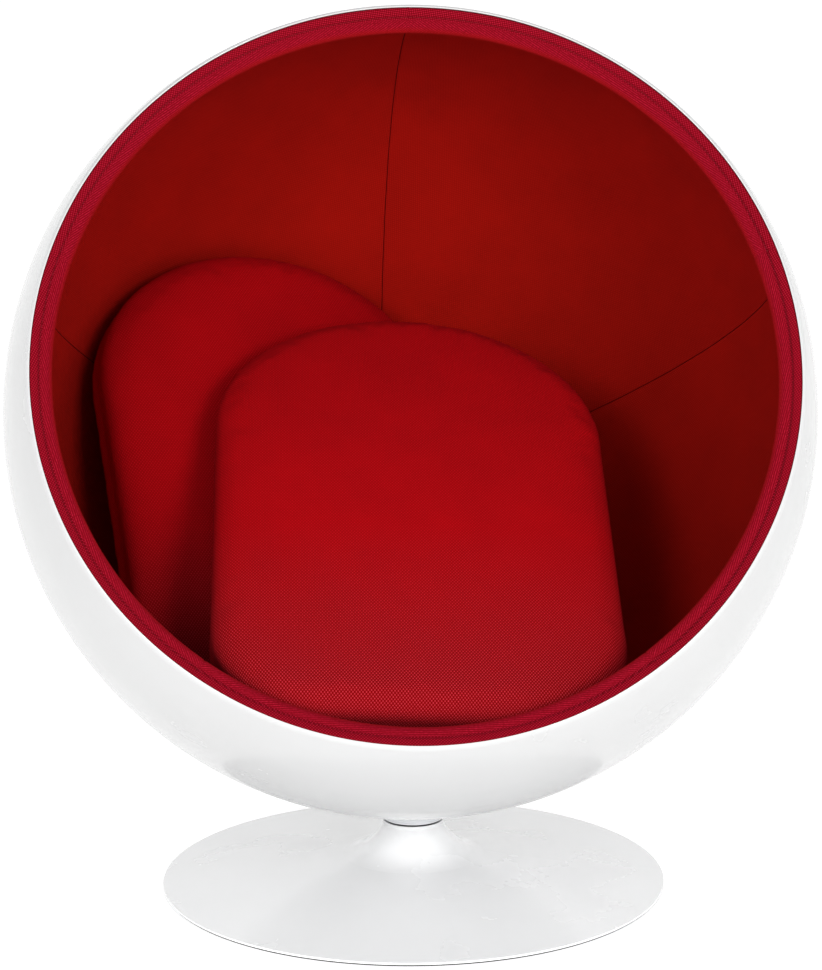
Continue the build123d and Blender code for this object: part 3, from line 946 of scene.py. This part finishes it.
def cushion_cloth(filled):
    """The cover's two panels and the core, cut from the filled form."""
    find = outline_finder()
    whole = filled.data.copy()
    cut_loops(whole, [loop - SEAM_HEIGHT for loop in SEAM_LOOPS])
    sew_seam(whole, find)
    meshes = {}
    beyond = 1.0
    panels = (("face_panel", -SEAM_HEIGHT, beyond, 1), ("back_panel", -beyond, -SEAM_HEIGHT, -1))
    for panel, low, high, side in panels:
        mesh = part_between(whole, low, high, panel)
        mesh.materials.clear()
        mesh.materials.append(CUSHION_WOOL)
        lay_cloth(mesh, [unrolled(v.co, find(v.co)[1], side * v.co.z) for v in mesh.vertices])
        meshes[panel] = mesh
    core = filled.data.copy()
    core.materials.clear()
    core.materials.append(FOAM)
    normals = [v.normal.copy() for v in core.vertices]
    for vertex, normal in zip(core.vertices, normals):
        vertex.co -= normal * CORE_DEPTH
    meshes["foam"] = core
    return meshes


def lay_cushion(name, body, meshes, pose):
    """Put a copy of the cover and core in their place on a body."""
    matrix = pose_matrix(**pose)
    for part, source in meshes.items():
        mesh = source.copy()
        mesh.transform(matrix)
        mesh.shade_smooth()
        piece = bpy.data.objects.new(f"{name}_soft_{part}", mesh)
        bpy.context.scene.collection.objects.link(piece)
        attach(piece, body)
        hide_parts(f"{name}_{part}")


filled = cushion_blank()
fill(filled)
subdivide = filled.modifiers.new("finer", "SUBSURF")
subdivide.levels = 1
subdivide.render_levels = 1
apply_modifiers(filled)
fit_pattern(filled.data)
cloth_meshes = cushion_cloth(filled)
lay_cushion("seat_cushion", "seat_cushion_body", cloth_meshes, SEAT_POSE)
lay_cushion("back_cushion", "back_cushion_body", cloth_meshes, BACK_POSE)
bpy.data.objects.remove(filled)


# ==== Studio =========================================================================


def add_floor():
    """A plain pale floor that curves up into a wall all round, far from the chair."""
    grey = (FLOOR_GREY,) * 3
    pale, _, shader = new_material("pale_floor", grey, 0.7)
    shader.inputs["Emission Color"].default_value = (1, 1, 1, 1)
    shader.inputs["Emission Strength"].default_value = FLOOR_GLOW
    profile = [(radius, 0) for radius in FLOOR_FLAT]
    for step in range(FLOOR_STEPS + 1):
        angle = math.pi / 2 * step / FLOOR_STEPS
        across, upward = FLOOR_CURVE * math.sin(angle), FLOOR_CURVE * (1 - math.cos(angle))
        profile.append((FLOOR_RADIUS + across, upward))
    profile.append((FLOOR_RADIUS + FLOOR_CURVE, WALL_HEIGHT))
    angles = [2 * math.pi * side / FLOOR_SIDES for side in range(FLOOR_SIDES)]
    points = []
    for radius, height in profile:
        points += [(radius * math.cos(a), radius * math.sin(a), height) for a in angles]
    faces = grid_faces(len(profile), FLOOR_SIDES, closed=True)
    faces.append(tuple(reversed(range(FLOOR_SIDES))))
    mesh_object("floor", points, faces, pale)


def add_softbox(name, place, power):
    """A square soft light that faces the chair."""
    light = bpy.data.lights.new(name, "AREA")
    light.shape = "RECTANGLE"
    light.size = light.size_y = LIGHT_SIZE
    light.energy = power
    lamp = bpy.data.objects.new(name, light)
    lamp.location = place
    towards = Vector(LIGHT_TARGET) - Vector(place)
    lamp.rotation_euler = towards.to_track_quat("-Z", "Y").to_euler()
    bpy.context.scene.collection.objects.link(lamp)


def light_world(strength):
    """Even white light from all round."""
    world = bpy.data.worlds.new("studio")
    world.use_nodes = True
    background = world.node_tree.nodes["Background"]
    background.inputs["Color"].default_value = (1, 1, 1, 1)
    background.inputs["Strength"].default_value = strength
    bpy.context.scene.world = world


def place_camera():
    """The photograph's viewpoint: lens, height, turn, pitch and slight roll."""
    lens = bpy.data.cameras.new("camera")
    lens.sensor_width = SENSOR_WIDTH
    lens.lens = lens.sensor_width * FOCAL_PIXELS / IMAGE_HEIGHT
    yaw, pitch, roll = (math.radians(a) for a in (CAMERA_YAW, CAMERA_PITCH, CAMERA_ROLL))
    level_part = math.cos(pitch)
    look = Vector((math.sin(yaw) * level_part, math.cos(yaw) * level_part, -math.sin(pitch)))
    level = look.cross(Vector((0, 0, 1))).normalized()
    upright = level.cross(look)
    right = level * math.cos(roll) + upright * math.sin(roll)
    up = upright * math.cos(roll) - level * math.sin(roll)
    matrix = Matrix.Identity(4)
    for column, direction in enumerate((right, up, -look)):
        for row in range(3):
            matrix[row][column] = direction[row]
    matrix.translation = Vector(CAMERA_PLACE)
    camera = bpy.data.objects.new("camera", lens)
    camera.matrix_world = matrix
    bpy.context.scene.collection.objects.link(camera)
    bpy.context.scene.camera = camera


bpy.context.scene.view_settings.view_transform = "Standard"
bpy.context.scene.view_settings.gamma = DISPLAY_GAMMA
add_floor()
light_world(WORLD_STRENGTH)
add_softbox("left", (-1.7, -4.3, 2.0), 72)
add_softbox("right", (1.6, -4.2, 1.7), 78)
place_camera()
